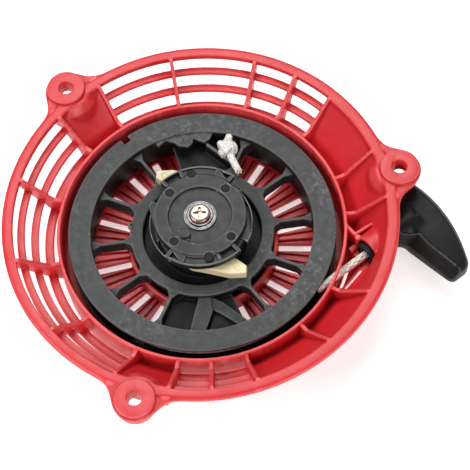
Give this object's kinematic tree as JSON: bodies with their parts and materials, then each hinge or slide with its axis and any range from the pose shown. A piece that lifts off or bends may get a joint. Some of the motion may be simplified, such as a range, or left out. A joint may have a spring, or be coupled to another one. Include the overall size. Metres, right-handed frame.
{
  "type": "recoil starter",
  "caption": "Pull-cord recoil starter for a small engine: louvred moulded cover with bolt ears, spoked rope reel, two ratchets, ratchet guide, spring and T grip.",
  "frame": {"origin": "centre of the cover's outer face, on the crank axis", "axes": "+Z along the crank axis towards the engine, +X through the bolt ear beside the rope outlet"},
  "size_m": [0.2118, 0.1884, 0.0388],
  "materials": {
    "red_plastic": "semi-gloss moulded polypropylene",
    "black_nylon": "matt moulded nylon",
    "grip_plastic": "satin black plastic",
    "natural_nylon": "unpigmented nylon",
    "rope": "braided nylon cord",
    "zinc_steel": "zinc-plated steel",
    "spring_steel": "oiled spring steel",
    "tinted_steel": "plated steel with a copper tint"
  },
  "bodies": {
    "housing": {"housing": "red_plastic", "recoil_spring": "spring_steel", "rope_guide": "zinc_steel", "rope_run": "rope", "screw_collar": "zinc_steel", "screw_washer": "zinc_steel", "centre_screw": "tinted_steel"},
    "reel": {"reel": "black_nylon", "rope_winding": "rope", "rope_knot": "rope", "ratchet_spring_a": "spring_steel", "ratchet_spring_b": "spring_steel"},
    "ratchet_guide": {"ratchet_guide": "black_nylon", "friction_spring": "spring_steel"},
    "ratchet_a": {"ratchet_a": "natural_nylon"},
    "ratchet_b": {"ratchet_b": "natural_nylon"},
    "grip": {"grip": "grip_plastic", "rope_end": "rope", "grip_knot": "rope", "knot_washer": "zinc_steel"}
  },
  "joints": [
    {"name": "reel_spin", "type": "hinge", "parent": "housing", "child": "reel", "pos_m": [0, 0, 0], "axis": [0, 0, 1], "range_deg": [0, 990], "stiffness_Nm_per_rad": 0.03, "springref_deg": -171.89},
    {"name": "grip_pull", "type": "slide", "parent": "housing", "child": "grip", "axis": [0.9078, 0.4195, 0], "range_m": [0, 1.02]},
    {"name": "guide_turn", "type": "hinge", "parent": "reel", "child": "ratchet_guide", "pos_m": [0, 0, 0], "axis": [0, 0, 1], "range_deg": [-9, 42]},
    {"name": "ratchet_a_swing", "type": "hinge", "parent": "reel", "child": "ratchet_a", "pos_m": [-0.007, -0.0185, 0], "axis": [0, 0, 1], "range_deg": [-6.3, 28.5]},
    {"name": "ratchet_b_swing", "type": "hinge", "parent": "reel", "child": "ratchet_b", "pos_m": [0.007, 0.0185, 0], "axis": [0, 0, 1], "range_deg": [-6.3, 28.5]}
  ],
  "couplings": [
    {"joint": "grip_pull", "follows": "reel_spin", "m_per_rad": 0.0588},
    {"joint": "ratchet_a_swing", "follows": "guide_turn", "ratio": 0.667},
    {"joint": "ratchet_b_swing", "follows": "guide_turn", "ratio": 0.667}
  ]
}
